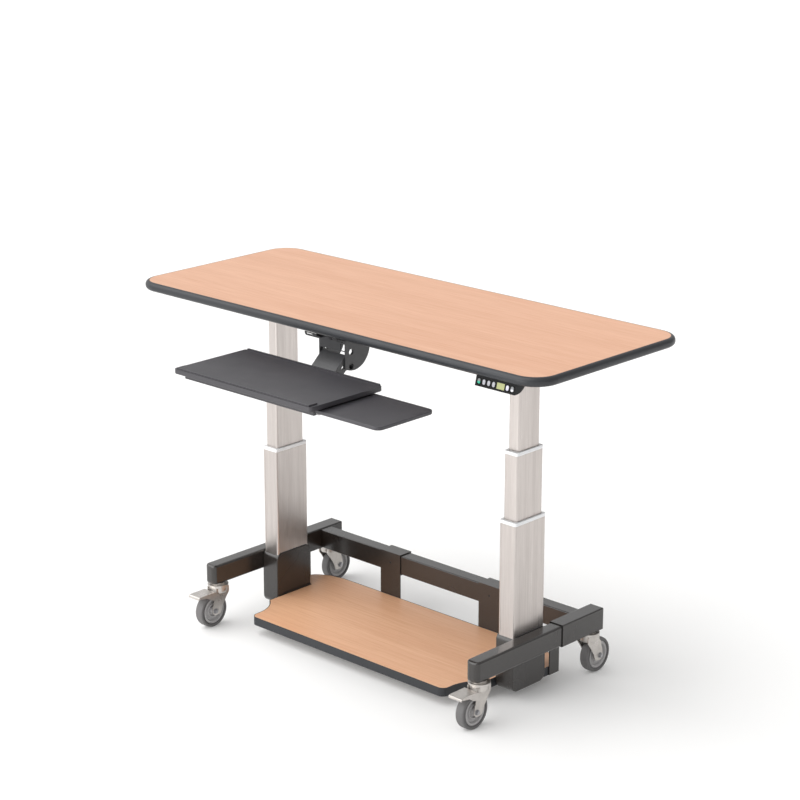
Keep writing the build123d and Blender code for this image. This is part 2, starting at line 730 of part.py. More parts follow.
def keyboard_track_and_yoke():
    track_length = track_rear - track_front
    with BuildPart() as keyboard_track:
        with BuildSketch(Plane.XZ.offset(-track_rear)):
            with Locations((0, underside - track_height / 2)):
                Rectangle(track_width, track_height)
                Rectangle(track_width - 2 * track_wall, track_height - 2 * track_wall, mode=Mode.SUBTRACT)
            with Locations((0, track_bottom + track_wall / 2)):
                Rectangle(track_slot, track_wall, mode=Mode.SUBTRACT)
        extrude(amount=track_length)
        with BuildSketch(Plane.XY.offset(underside)):
            with Locations(*worktop_screw_places()[-2:]):
                Circle(wood_screw_head)
        extrude(amount=-track_wall, mode=Mode.SUBTRACT)
    save(keyboard_track, "keyboard_track")

    shoe_bottom = track_bottom + track_wall + body_gap
    shoe_top = underside - track_wall - body_gap
    seat_top = track_bottom - body_gap
    seat_bottom = seat_top - seat_thickness
    yoke_top = seat_bottom - body_gap
    yoke_under = yoke_top - yoke_wall
    with BuildPart() as keyboard_glide:
        with BuildSketch(Plane.XY.offset(shoe_bottom)):
            with Locations((0, swivel_y)):
                RectangleRounded(track_width - 2 * track_wall - 2 * body_gap, glide_length, 3)
        extrude(amount=shoe_top - shoe_bottom)
        with BuildSketch(Plane.XY.offset(seat_bottom)):
            with Locations((0, swivel_y)):
                RectangleRounded(track_slot - 2 * body_gap, glide_length / 2, 4)
        extrude(amount=shoe_bottom - seat_bottom)
        with BuildSketch(Plane.XY.offset(seat_bottom)):
            with Locations((0, swivel_y)):
                Circle(seat_radius)
        extrude(amount=seat_thickness)
        with BuildSketch(Plane.XY.offset(yoke_under - body_gap)):
            with Locations((0, swivel_y)):
                Circle(swivel_pin_radius - pin_clearance)
        extrude(amount=seat_bottom - yoke_under + body_gap)
        with BuildSketch(Plane.XY.offset(yoke_under - body_gap)):
            with Locations((0, swivel_y)):
                Circle(swivel_head_radius)
        extrude(amount=-swivel_head_height)
    save(keyboard_glide, "keyboard_glide")

    yoke_back = yoke_cheek_centre[0] + yoke_cheek_radius
    with BuildPart() as keyboard_yoke:
        for x in (-yoke_half, yoke_half - yoke_wall):
            with BuildSketch(side_plane(x)):
                with Locations(yoke_cheek_centre):
                    Circle(yoke_cheek_radius)
                with Locations(((yoke_front + yoke_back) / 2, (yoke_cheek_centre[1] + yoke_top) / 2)):
                    Rectangle(yoke_back - yoke_front, yoke_top - yoke_cheek_centre[1])
                with Locations((yoke_front - 50, yoke_cheek_centre[1])):
                    Rectangle(100, 200, mode=Mode.SUBTRACT)
                with Locations((yoke_cheek_centre[0], yoke_top + 50)):
                    Rectangle(200, 100, mode=Mode.SUBTRACT)
            extrude(amount=yoke_wall)
        with BuildSketch(Plane.XY.offset(yoke_under)):
            with Locations((0, (yoke_front + yoke_back) / 2)):
                Rectangle(2 * yoke_half, yoke_back - yoke_front)
        extrude(amount=yoke_wall)
        plate_bottom = yoke_top - front_plate_drop
        apron_rod = (yoke_front + yoke_wall / 2, apron_bottom + apron_rod_radius)
        with BuildSketch(Plane.XZ.offset(-yoke_front - yoke_wall)):
            with BuildLine():
                Polyline(
                    (front_plate_left, yoke_top),
                    (front_plate_left, plate_bottom),
                    (-yoke_half, plate_bottom),
                    (-yoke_half, apron_bottom),
                    (apron_right, apron_bottom),
                    (apron_right, plate_bottom),
                    (yoke_half, plate_bottom),
                    (yoke_half, yoke_top),
                    close=True,
                )
            make_face()
        extrude(amount=yoke_wall)
        lower_left = keyboard_yoke.edges().filter_by(Axis.Y).sort_by(Axis.X)[0:2].sort_by(Axis.Z)[0]
        fillet(lower_left, radius=front_plate_drop * 0.9)
        with BuildSketch(Plane.XZ.offset(-yoke_front - yoke_wall)):
            with Locations((front_plate_left + 18, yoke_top - 4), (30, yoke_top - 4)):
                SlotOverall(24, 3)
        extrude(amount=yoke_wall, mode=Mode.SUBTRACT)
        with BuildSketch(Plane.XY.offset(yoke_under)):
            with Locations((0, swivel_y)):
                Circle(swivel_pin_radius)
        extrude(amount=yoke_wall, mode=Mode.SUBTRACT)
        cross_pin(arm_pivot, pivot_tube_radius, yoke_half, Mode.SUBTRACT)
        cross_pin(link_pivot, pivot_tube_radius, yoke_half, Mode.SUBTRACT)
        cross_pin(apron_rod, apron_rod_radius, yoke_half - yoke_wall / 2)
    save(keyboard_yoke, "keyboard_yoke")


def pivot_stubs(place, radius, inside, outside):
    """A pair of short pivots along X, one on each side, from inside to outside."""
    for x in (-(inside + outside) / 2, (inside + outside) / 2):
        with Locations(Location((x, *place), (0, 90, 0))):
            Cylinder(radius, outside - inside)


def keyboard_arm_pieces():
    reach = arm_reach
    boss = arm_boss_radius
    stub_radius = pivot_tube_radius - pin_clearance
    stub_bore = pivot_tube_radius - pivot_tube_wall
    arm_inside = arm_half - arm_wall
    with BuildPart() as keyboard_arm:
        with BuildSketch(arm_plane(arm_half, arm_pivot)):
            with BuildLine():
                Polyline(
                    (-boss, -boss / 3),
                    (-boss, boss / 2),
                    (-boss / 2, boss),
                    (boss / 2, boss),
                    (arm_plate_start, arm_top),
                    (reach - head_clearance, arm_top),
                    (reach - boss, boss),
                    (reach + boss, boss),
                    (reach + boss, -boss / 2),
                    (reach - boss, -arm_belly),
                    (arm_belly_start, -arm_belly),
                    (arm_belly_start - boss, -boss / 2),
                    (boss, -boss / 2),
                    (boss / 2, -boss),
                    (-boss / 2, -boss),
                    close=True,
                )
            make_face()
        extrude(amount=2 * arm_half)
        with BuildSketch(arm_plane(arm_inside, arm_pivot)):
            with Locations((reach / 2, arm_top - arm_wall)):
                Rectangle(2 * reach, reach, align=(Align.CENTER, Align.MAX))
            with Locations((arm_plate_start, 0)):
                Rectangle(reach, reach, align=(Align.MAX, Align.CENTER))
            with Locations((reach - head_clearance, 0)):
                Rectangle(reach, reach, align=(Align.MIN, Align.CENTER))
        extrude(amount=2 * arm_inside, mode=Mode.SUBTRACT)
        pivot_stubs(arm_pivot, stub_radius, arm_inside, yoke_half)
        cross_pin(arm_pivot, stub_bore, yoke_half, Mode.SUBTRACT)
        cross_pin(arm_tip, pivot_tube_radius, arm_half, Mode.SUBTRACT)
    save(keyboard_arm, "keyboard_arm")

    link_middle = ((link_pivot[0] + link_tip[0]) / 2, (link_pivot[1] + link_tip[1]) / 2)
    with BuildPart() as keyboard_link:
        for x in (link_outside, link_wall - link_outside):
            with BuildSketch(arm_plane(x, link_pivot)):
                with Locations((reach / 2, 0)):
                    Rectangle(reach, boss)
                with Locations((0, 0), (reach, 0)):
                    Circle(boss)
            extrude(amount=link_wall)
        pivot_stubs(link_pivot, stub_radius, link_outside - link_wall, yoke_half)
        cross_pin(link_pivot, stub_bore, yoke_half, Mode.SUBTRACT)
        cross_pin(link_tip, pivot_tube_radius, link_outside, Mode.SUBTRACT)
        cross_pin(link_middle, link_rod_radius, link_outside)
    save(keyboard_link, "keyboard_link")

    with BuildPart() as tilt_head:
        for x in (-head_outside, head_outside - head_plate):
            with BuildSketch(side_plane(x)):
                with Locations(arm_tip, link_tip, tilt_pivot):
                    Circle(boss)
                make_hull()
            extrude(amount=head_plate)
        pivot_stubs(arm_tip, stub_radius, head_outside - head_plate, arm_half)
        cross_pin(arm_tip, stub_bore, arm_half, Mode.SUBTRACT)
        pivot_stubs(link_tip, stub_radius, link_outside - link_wall, head_outside)
        cross_pin(link_tip, stub_bore, head_outside, Mode.SUBTRACT)
        cross_pin(tilt_pivot, tilt_pin_radius - pin_clearance, tilt_ear_outside)
    save(tilt_head, "tilt_head")


def trays():
    board_front = tray_back - tray_depth
    middle_y = (tray_back + board_front) / 2
    with BuildPart() as keyboard_tray:
        with BuildSketch(Plane.XY.offset(tray_bottom)):
            with Locations((tray_shift, middle_y)):
                RectangleRounded(tray_width, tray_depth, tray_corner)
        extrude(amount=tray_thickness)
        with BuildSketch(Plane.XY.offset(tray_top)):
            with Locations((tray_shift, tray_back - back_lip / 2)):
                Rectangle(tray_width - 2 * tray_corner, back_lip)
            with Locations((tray_shift, board_front + palm_strip_depth / 2)):
                Rectangle(tray_width - 2 * tray_corner, palm_strip_depth - 6)
        extrude(amount=tray_lip)
        bottom_rim = keyboard_tray.edges().group_by(Axis.Z)[0]
        fillet(bottom_rim, radius=3)
    save(keyboard_tray, "keyboard_tray")

    rail_foot = frame_bottom + frame_wall
    with BuildPart() as tray_frame:
        for front, back in ((frame_front, frame_front + frame_wall), (frame_back - frame_wall, frame_back)):
            with BuildSketch(Plane.XY.offset(frame_bottom)):
                with Locations((0, (front + back) / 2)):
                    Rectangle(frame_length, frame_wall)
            extrude(amount=tray_bottom - frame_bottom)
        with BuildSketch(Plane.XY.offset(frame_bottom)):
            with Locations((0, frame_front + frame_lip / 2), (0, frame_back - frame_lip / 2)):
                Rectangle(frame_length, frame_lip)
            with Locations((0, (frame_front + frame_back) / 2)):
                Rectangle(frame_rib, frame_back - frame_front)
        extrude(amount=frame_wall)
        for x in (-tilt_ear_outside, tilt_ear_outside - tilt_ear_wall):
            with BuildSketch(side_plane(x)):
                with Locations(tilt_pivot):
                    Circle(tilt_ear_radius)
                with Locations((tilt_pivot[0], (tilt_pivot[1] + rail_foot) / 2)):
                    Rectangle(2 * tilt_ear_radius, rail_foot - tilt_pivot[1])
                with Locations(tilt_pivot):
                    Circle(tilt_pin_radius, mode=Mode.SUBTRACT)
            extrude(amount=tilt_ear_wall)
    save(tray_frame, "tray_frame")

    with BuildPart() as mouse_tray:
        depth = frame_back - frame_front - 2 * (frame_wall + 0.5)
        with BuildSketch(Plane.XY.offset(mouse_top - mouse_thickness)):
            with Locations(((mouse_left + mouse_right) / 2, (frame_front + frame_back) / 2)):
                RectangleRounded(mouse_right - mouse_left, depth, mouse_corner)
        extrude(amount=mouse_thickness)
        fillet(mouse_tray.edges().group_by(Axis.Z)[0], radius=3)
        fillet(mouse_tray.edges().group_by(Axis.Z)[-1], radius=2)
    save(mouse_tray, "mouse_tray")


# ---------------------------------------------------------------- casters


def wheel_plane(x, y):
    """The plane through the axle, own x along +X and own y along +Z."""
    return Plane(origin=(x, y, wheel_radius), x_dir=(1, 0, 0), z_dir=(0, -1, 0))


def caster(place, x, y, way):
    """One swivel caster: fork with axle, hub and tyre, trailing towards way (-1 front, 1 back)."""
    axle_y = y + way * trail
    drum_top = caster_height - body_gap
    crown_top = drum_top - drum_height
    crown_bottom = crown_top - crown_thickness
    fork_half = fork_gap / 2 + fork_wall
    with BuildPart() as fork:
        with BuildSketch(Plane.XY.offset(crown_top)):
            with Locations((x, y)):
                Circle(drum_radius)
        extrude(amount=drum_height)
        fillet(fork.edges().group_by(Axis.Z)[-1], radius=4)
        with BuildSketch(Plane.XY.offset(crown_bottom)):
            with Locations((x, y + way * 5)):
                RectangleRounded(2 * fork_half, 2 * drum_radius + 6, 4)
        extrude(amount=crown_thickness)
        for leg_x in (x - fork_half, x + fork_gap / 2):
            with BuildSketch(side_plane(leg_x)):
                with Locations((axle_y, wheel_radius)):
                    Circle(leg_radius)
                with Locations((y + way * 5, crown_bottom + crown_thickness / 2)):
                    Rectangle(2 * drum_radius - 4, crown_thickness)
                make_hull()
            extrude(amount=fork_wall)
        with BuildSketch(side_plane(x - fork_half)):
            with Locations((axle_y, wheel_radius)):
                Circle(axle_radius)
        extrude(amount=2 * fork_half, mode=Mode.SUBTRACT)
        with BuildSketch(Plane.XY.offset(crown_bottom)):
            with Locations((x, y)):
                Circle(king_pin_radius)
        extrude(amount=drum_height + crown_thickness, mode=Mode.SUBTRACT)
        with BuildSketch(side_plane(x - fork_half)):
            with Locations((axle_y, wheel_radius)):
                Circle(axle_radius - pin_clearance / 2)
        extrude(amount=2 * fork_half)
        for head_x in (x - fork_half - nut_height, x + fork_half):
            with BuildSketch(side_plane(head_x)):
                with Locations((axle_y, wheel_radius)):
                    RegularPolygon(nut_radius, 6)
            extrude(amount=nut_height)
        if way < 0:
            for pin_x in (x - fork_half - pedal_pin_length, x + fork_half):
                with BuildSketch(side_plane(pin_x)):
                    with Locations((y + way * pedal_pin[0], pedal_pin[1])):
                        Circle(pedal_pin_radius - pin_clearance)
                extrude(amount=pedal_pin_length)
    save(fork, f"caster_fork_{place}")

    hub_bore = axle_radius + pin_clearance
    boss_half = fork_gap / 2 - 1
    rim_half = tyre_width / 2 - 1
    with BuildPart() as hub:
        with BuildSketch(wheel_plane(x, axle_y)):
            with BuildLine():
                Polyline(
                    (0, hub_bore),
                    (boss_half, hub_bore),
                    (boss_half, hub_bore + 7),
                    (web_half, hub_bore + 10),
                    (web_half, rim_radius - 9),
                    (rim_half, rim_radius - 6),
                    (rim_half, rim_radius),
                    (0, rim_radius),
                    close=True,
                )
            make_face()
            mirror(about=Plane.YZ)
        revolve(axis=Axis((x, axle_y, wheel_radius), (1, 0, 0)))
    save(hub, f"caster_hub_{place}")

    with BuildPart() as tyre:
        with BuildSketch(wheel_plane(x, axle_y)) as section:
            with Locations((0, (rim_radius + wheel_radius) / 2)):
                Rectangle(tyre_width, wheel_radius - rim_radius)
            fillet(section.vertices().sort_by(Axis.Z)[-2:], radius=5)
        revolve(axis=Axis((x, axle_y, wheel_radius), (1, 0, 0)))
    save(tyre, f"caster_tyre_{place}")


def brake_pedal(place, x, y, way):
    """The stamped foot pedal of a braked caster, hung on pins outside the fork's legs."""
    fork_half = fork_gap / 2 + fork_wall
    inside = fork_half + body_gap
    pin = (y + way * pedal_pin[0], pedal_pin[1])
    tread_start = y + way * (drum_radius + 5)
    tread_end = y + way * pedal_reach
    tread_size = (2 * (inside + pedal_thickness), abs(tread_end - tread_start))
    with BuildPart() as pedal:
        with BuildSketch(Plane.XY.offset(pedal_height)):
            with Locations((x, (tread_start + tread_end) / 2)):
                RectangleRounded(*tread_size, 5)
        extrude(amount=pedal_thickness)
        for cheek_x in (x - inside - pedal_thickness, x + inside):
            with BuildSketch(side_plane(cheek_x)):
                with BuildLine():
                    Polyline(
                        (pin[0] - way * 8, pin[1] - 5),
                        (pin[0] - way * 8, pin[1] + 8),
                        (tread_start, pedal_height),
                        (tread_end - way * 14, pedal_height),
                        (pin[0] + way * 8, pin[1] - 8),
                        close=True,
                    )
                make_face()
            extrude(amount=pedal_thickness)
        with BuildSketch(side_plane(x - inside - pedal_thickness)):
            with Locations(pin):
                Circle(pedal_pin_radius)
        extrude(amount=2 * (inside + pedal_thickness), mode=Mode.SUBTRACT)
    save(pedal, f"brake_pedal_{place}")


def casters():
    with BuildPart() as caster_plates:
        for y, top in ((-pivot_y, rail_bottom), (pivot_y, sleeve_bottom)):
            with BuildSketch(Plane.XY.offset(caster_height)):
                with Locations((-rail_x, y), (rail_x, y)):
                    Circle(plate_radius)
            extrude(amount=plate_thickness)
            with BuildSketch(Plane.XY.offset(caster_height)):
                with Locations((-rail_x, y), (rail_x, y)):
                    Circle(rail_width / 2 - 1)
            extrude(amount=top - caster_height)
            with BuildSketch(Plane.XY.offset(caster_height - drum_height)):
                with Locations((-rail_x, y), (rail_x, y)):
                    Circle(king_pin_radius - pin_clearance)
            extrude(amount=drum_height)
    save(caster_plates, "caster_plates")

    for place, x, y, way in (
        ("front_left", -rail_x, -pivot_y, -1),
        ("front_right", rail_x, -pivot_y, -1),
        ("rear_left", -rail_x, pivot_y, 1),
        ("rear_right", rail_x, pivot_y, 1),
    ):
        caster(place, x, y, way)
        if way < 0:
            brake_pedal(place, x, y, way)


os.makedirs("parts", exist_ok=True)
base_frame()
shelf()
columns()
worktop()
handset()
keyboard_track_and_yoke()
keyboard_arm_pieces()
trays()
casters()
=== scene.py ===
import json
import math

import bmesh
import bpy
from mathutils import Matrix, Vector


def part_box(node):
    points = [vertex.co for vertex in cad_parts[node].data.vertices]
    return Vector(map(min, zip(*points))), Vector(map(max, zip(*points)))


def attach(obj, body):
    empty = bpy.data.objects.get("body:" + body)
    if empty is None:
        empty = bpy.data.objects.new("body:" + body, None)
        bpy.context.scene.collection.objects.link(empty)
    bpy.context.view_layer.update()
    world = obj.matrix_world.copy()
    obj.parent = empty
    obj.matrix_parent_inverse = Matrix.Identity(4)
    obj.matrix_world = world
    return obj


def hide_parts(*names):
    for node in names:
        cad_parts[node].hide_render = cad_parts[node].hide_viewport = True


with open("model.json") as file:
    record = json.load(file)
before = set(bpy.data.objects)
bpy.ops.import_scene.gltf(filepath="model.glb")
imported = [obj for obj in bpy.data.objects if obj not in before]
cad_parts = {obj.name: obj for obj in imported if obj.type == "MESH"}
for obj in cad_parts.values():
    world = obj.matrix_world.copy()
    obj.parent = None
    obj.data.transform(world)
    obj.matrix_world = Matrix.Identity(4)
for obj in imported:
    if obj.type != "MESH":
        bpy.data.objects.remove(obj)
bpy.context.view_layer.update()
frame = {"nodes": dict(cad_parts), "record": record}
nodes = frame["nodes"]
body_names = {n: b for b, ns in frame["record"]["behaviour"]["bodies"].items() for n in ns}
slots = {s["node"]: s["material_slot"] for s in frame["record"]["subparts"]}


# ------------------------------------------------------------------ materials


def srgb(r, g, b):
    """Linear colour from display values of 0 to 255."""
    out = []
    for v in (r, g, b):
        c = v / 255
        out.append(c / 12.92 if c <= 0.04045 else ((c + 0.055) / 1.055) ** 2.4)
    return (*out, 1.0)


class Nodes:
    """A material's node tree, with short calls for the nodes used below."""

    def __init__(self, name):
        self.material = bpy.data.materials.new(name)
        self.material.use_nodes = True
        self.tree = self.material.node_tree
        self.shader = self.tree.nodes["Principled BSDF"]
        self.coords = self.tree.nodes.new("ShaderNodeTexCoord")

    def link(self, a, b):
        self.tree.links.new(a, b)

    def mapped(self, scale):
        node = self.tree.nodes.new("ShaderNodeMapping")
        node.inputs["Scale"].default_value = scale
        self.link(self.coords.outputs["Object"], node.inputs["Vector"])
        return node.outputs["Vector"]

    def noise(self, vector, detail, rough=0.5, distortion=0.0):
        node = self.tree.nodes.new("ShaderNodeTexNoise")
        node.inputs["Scale"].default_value = 1.0
        node.inputs["Detail"].default_value = detail
        node.inputs["Roughness"].default_value = rough
        node.inputs["Distortion"].default_value = distortion
        self.link(vector, node.inputs["Vector"])
        return node.outputs["Fac"]

    def ramp(self, value, low, high, a, b):
        """value from low..high turned into a..b."""
        node = self.tree.nodes.new("ShaderNodeMapRange")
        for key, number in (("From Min", low), ("From Max", high), ("To Min", a), ("To Max", b)):
            node.inputs[key].default_value = number
        self.link(value, node.inputs["Value"])
        return node.outputs["Result"]

    def mix(self, factor, a, b):
        node = self.tree.nodes.new("ShaderNodeMix")
        node.data_type = "RGBA"
        self.link(factor, node.inputs["Factor"])
        for key, colour in (("A", a), ("B", b)):
            socket = [s for s in node.inputs if s.name == key and s.type == "RGBA"][0]
            if isinstance(colour, tuple):
                socket.default_value = colour
            else:
                self.link(colour, socket)
        return [s for s in node.outputs if s.type == "RGBA"][0]

    def math(self, kind, a, b):
        node = self.tree.nodes.new("ShaderNodeMath")
        node.operation = kind
        for socket, value in zip(node.inputs, (a, b)):
            if isinstance(value, (int, float)):
                socket.default_value = value
            else:
                self.link(value, socket)
        return node.outputs["Value"]

    def bump(self, height, strength):
        node = self.tree.nodes.new("ShaderNodeBump")
        node.inputs["Strength"].default_value = strength
        node.inputs["Distance"].default_value = 0.0002
        self.link(height, node.inputs["Height"])
        return node.outputs["Normal"]

    def set(self, **values):
        """Sets or links the shader's inputs, named with underscores for spaces."""
        for key, value in values.items():
            socket = self.shader.inputs[key.replace("_", " ")]
            if isinstance(value, (int, float, tuple)):
                socket.default_value = value
            else:
                self.link(value, socket)


def moulded(name, light, dark, rough, grain, bump, coat=0.0):
    """Paint or moulded plastic: a faint mottle in colour and gloss over a fine grained surface."""
    m = Nodes(name)
    broad = m.noise(m.mapped((6, 6, 6)), 3)
    fine = m.noise(m.mapped((grain, grain, grain)), 2)
    m.set(
        Base_Color=m.mix(m.ramp(broad, 0.3, 0.7, 0, 1), light, dark),
        Roughness=m.ramp(broad, 0.3, 0.7, rough - 0.04, rough + 0.05),
        Coat_Weight=coat,
        Coat_Roughness=0.22,
        Normal=m.bump(fine, bump),
    )
    return m.material


def brushed(name, light, dark, stretch, rough, metallic=1.0, bump=0.12):
    """Metal brushed along one axis: stretch is the grain's scale along X, Y and Z."""
    m = Nodes(name)
    fine = m.noise(m.mapped(stretch), 5, 0.65)
    broad = m.noise(m.mapped(tuple(s / 12 for s in stretch)), 3, 0.6)
    both = m.math("ADD", m.math("MULTIPLY", fine, 0.6), m.math("MULTIPLY", broad, 0.4))
    m.set(
        Base_Color=m.mix(m.ramp(both, 0.38, 0.62, 0, 1), light, dark),
        Roughness=m.ramp(both, 0.35, 0.65, rough - 0.08, rough + 0.1),
        Metallic=metallic,
        Normal=m.bump(fine, bump),
    )
    return m.material


def laminate(name, pale, deep, line, mark):
    """Beech laminate, its grain along X, on the faces that look up, and a dark backer sheet on the rest."""
    m = Nodes(name)
    fine = m.noise(m.mapped((7, 260, 7)), 6, 0.6, 0.15)
    fleck = m.noise(m.mapped((42, 620, 42)), 3, 0.5)
    broad = m.noise(m.mapped((0.9, 16, 0.9)), 4, 0.6, 0.4)
    tone = m.mix(m.ramp(broad, 0.35, 0.65, 0, 1), pale, deep)
    streak = m.mix(m.ramp(fine, 0.42, 0.72, 0, 0.55), tone, line)
    flecked = m.mix(m.ramp(fleck, 0.62, 0.8, 0, 0.5), streak, mark)
    split = m.tree.nodes.new("ShaderNodeSeparateXYZ")
    m.link(m.coords.outputs["Normal"], split.inputs["Vector"])
    up = m.ramp(split.outputs["Z"], 0.4, 0.6, 0, 1)
    m.set(
        Base_Color=m.mix(up, srgb(92, 84, 78), flecked),
        Roughness=m.ramp(fine, 0.3, 0.7, 0.36, 0.46),
        Normal=m.bump(fine, 0.06),
    )
    return m.material


MATERIALS = {
    "base_paint": moulded("charcoal_paint", srgb(42, 38, 35), srgb(37, 33, 31), 0.24, 700, 0.1, coat=0.5),
    "column_brushed": brushed("brushed_column", srgb(204, 197, 193), srgb(190, 183, 179), (520, 520, 9),
                              0.34),
    "white_plastic": moulded("white_plastic", srgb(244, 245, 246), srgb(236, 237, 239), 0.4, 600, 0.1),
    "laminate": laminate("worktop_laminate", srgb(225, 175, 143), srgb(217, 165, 132), srgb(203, 147, 113),
                         srgb(186, 128, 95)),
    "bumper": moulded("bumper_vinyl", srgb(41, 43, 47), srgb(36, 38, 42), 0.4, 1100, 0.2),
    "black_plastic": moulded("black_plastic", srgb(30, 30, 31), srgb(25, 25, 26), 0.42, 1200, 0.25),
    "tray_plastic": moulded("tray_plastic", srgb(64, 62, 66), srgb(58, 57, 61), 0.42, 1500, 0.35),
    "arm_paint": moulded("arm_paint", srgb(62, 62, 64), srgb(55, 55, 57), 0.34, 700, 0.2, coat=0.1),
    "zinc": brushed("zinc_plate", srgb(208, 203, 198), srgb(190, 185, 180), (40, 40, 40), 0.32,
                    metallic=0.85, bump=0.01),
    "bare_steel": brushed("bare_steel", srgb(186, 186, 188), srgb(160, 160, 163), (300, 300, 60), 0.3),
    "bright_aluminium": brushed("bright_aluminium", srgb(214, 214, 216), srgb(196, 196, 199),
                                (300, 300, 20), 0.28),
    "grey_plastic": moulded("grey_plastic", srgb(176, 174, 174), srgb(164, 162, 162), 0.42, 700, 0.15),
    "tyre_grey": moulded("tyre_rubber", srgb(108, 106, 106), srgb(98, 97, 97), 0.62, 1300, 0.4),
    "button_grey": moulded("button_grey", srgb(214, 214, 218), srgb(205, 205, 210), 0.4, 900, 0.1),
    "display": moulded("display_glass", srgb(160, 163, 108), srgb(151, 155, 102), 0.3, 400, 0.02),
}


def two_tone(name, upper, lower, middle):
    """A button moulded in two colours that meet at the height middle."""
    m = Nodes(name)
    split = m.tree.nodes.new("ShaderNodeSeparateXYZ")
    m.link(m.coords.outputs["Object"], split.inputs["Vector"])
    fine = m.noise(m.mapped((900, 900, 900)), 2)
    m.set(
        Base_Color=m.mix(m.ramp(split.outputs["Z"], middle - 0.0002, middle + 0.0002, 0, 1), lower, upper),
        Roughness=m.ramp(fine, 0.3, 0.7, 0.36, 0.44),
        Normal=m.bump(fine, 0.1),
    )
    return m.material


def faced():
    """The handset's moulding: matt black on its sloping face and dark grey elsewhere."""
    m = Nodes("handset_shell")
    split = m.tree.nodes.new("ShaderNodeSeparateXYZ")
    m.link(m.coords.outputs["Normal"], split.inputs["Vector"])
    front = m.ramp(split.outputs["Y"], -0.95, -0.9, 1, 0)
    fine = m.noise(m.mapped((1100, 1100, 1100)), 2)
    m.set(
        Base_Color=m.mix(front, srgb(30, 31, 33), srgb(4, 4, 5)),
        Roughness=m.ramp(front, 0, 1, 0.42, 0.5),
        Specular_IOR_Level=0.2,
        Normal=m.bump(fine, 0.15),
    )
    return m.material


BUTTONS = {
    "button_preset_one": (srgb(168, 168, 174), srgb(160, 160, 166)),
    "button_preset_two": (srgb(168, 168, 174), srgb(160, 160, 166)),
    "button_preset_three": (srgb(168, 168, 174), srgb(160, 160, 166)),
    "button_save": (srgb(118, 120, 120), srgb(40, 165, 134)),
    "button_raise": (srgb(205, 203, 214), srgb(192, 190, 204)),
    "button_lower": (srgb(128, 130, 132), srgb(204, 204, 208)),
}


# ------------------------------------------------------------------ pieces


def paint(obj, material):
    """Covers a whole piece in one material."""
    obj.data.materials.clear()
    obj.data.materials.append(material)


def placed(name, mesh):
    """A new object in the scene."""
    obj = bpy.data.objects.new(name, mesh)
    bpy.context.scene.collection.objects.link(obj)
    return obj


def dressed(obj, material, body):
    """Gives a piece its material and the body it rides with."""
    paint(obj, material)
    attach(obj, body)


def soften_edges(obj, width, angle):
    """Smooth faces, and every edge sharper than angle degrees bevelled."""
    for polygon in obj.data.polygons:
        polygon.use_smooth = True
    if width:
        bevel = obj.modifiers.new("edges", "BEVEL")
        bevel.width = width
        bevel.segments = 2
        bevel.limit_method = "ANGLE"
        bevel.angle_limit = math.radians(angle)
    obj.modifiers.new("normals", "WEIGHTED_NORMAL").keep_sharp = False


def softened(node, width, material):
    """The CAD node with its sharp edges rounded, in its place."""
    bm = bmesh.new()
    bm.from_mesh(nodes[node].data)
    bmesh.ops.remove_doubles(bm, verts=bm.verts, dist=1e-6)
    bmesh.ops.dissolve_limit(bm, angle_limit=math.radians(1), verts=bm.verts, edges=bm.edges)
    mesh = bpy.data.meshes.new(node + "_soft")
    bm.to_mesh(mesh)
    bm.free()
    obj = placed(node + "_soft", mesh)
    dressed(obj, material, body_names[node])
    soften_edges(obj, width, 35)
    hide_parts(node)


def rounded(points, radius, steps=5):
    """A closed outline with its corners rounded. radius is one number, or one for each corner."""
    radii = radius if isinstance(radius, (list, tuple)) else [radius] * len(points)
    out = []
    for i, r in enumerate(radii):
        here = Vector(points[i])
        before = Vector(points[i - 1]) - here
        after = Vector(points[(i + 1) % len(points)]) - here
        half = before.angle(after, 0) / 2
        if r <= 0 or half < 0.01 or half > math.pi / 2 - 0.01:
            out.append(tuple(here))
            continue
        reach = min(r / math.tan(half), 0.49 * before.length, 0.49 * after.length)
        r = reach * math.tan(half)
        centre = here + (before.normalized() + after.normalized()).normalized() * (r / math.sin(half))
        start = here + before.normalized() * reach - centre
        turn = start.angle_signed(here + after.normalized() * reach - centre, 0)
        for k in range(steps + 1):
            out.append(tuple(centre + Matrix.Rotation(-turn * k / steps, 2) @ start))
    return out


def ring(centre, radius, count):
    """A circle as an outline, or with few points a regular polygon."""
    turns = [2 * math.pi * i / count for i in range(count)]
    return [(centre[0] + radius * math.cos(t), centre[1] + radius * math.sin(t)) for t in turns]


def lathe(bm, profile, centre, axis, segments=72):
    """Turns a closed profile of (along, radius) pairs about the X or Z axis through centre."""
    rings = []
    for i in range(segments):
        angle = 2 * math.pi * i / segments
        c, s = math.cos(angle), math.sin(angle)
        if axis == "X":
            section = [Vector(centre) + Vector((w, r * c, r * s)) for w, r in profile]
        else:
            section = [Vector(centre) + Vector((r * c, r * s, w)) for w, r in profile]
        rings.append([bm.verts.new(p) for p in section])
    count = len(profile)
    for i in range(segments):
        a, b = rings[i], rings[(i + 1) % segments]
        for k in range(count):
            j = (k + 1) % count
            bm.faces.new((a[k], a[j], b[j], b[k]))


def skin(bm, rows):
    """Joins outlines of equal length into a closed skin, capped at both ends."""
    bm.faces.new(rows[0][::-1])
    bm.faces.new(rows[-1])
    for before, after in zip(rows, rows[1:]):
        for k in range(len(before)):
            j = (k + 1) % len(before)
            bm.faces.new((before[k], before[j], after[j], after[k]))


def prism(bm, outline, low, high):
    """Fills an outline of (y, z) points and gives it thickness along X, from low to high."""
    skin(bm, [[bm.verts.new((x, y, z)) for y, z in outline] for x in (low, high)])


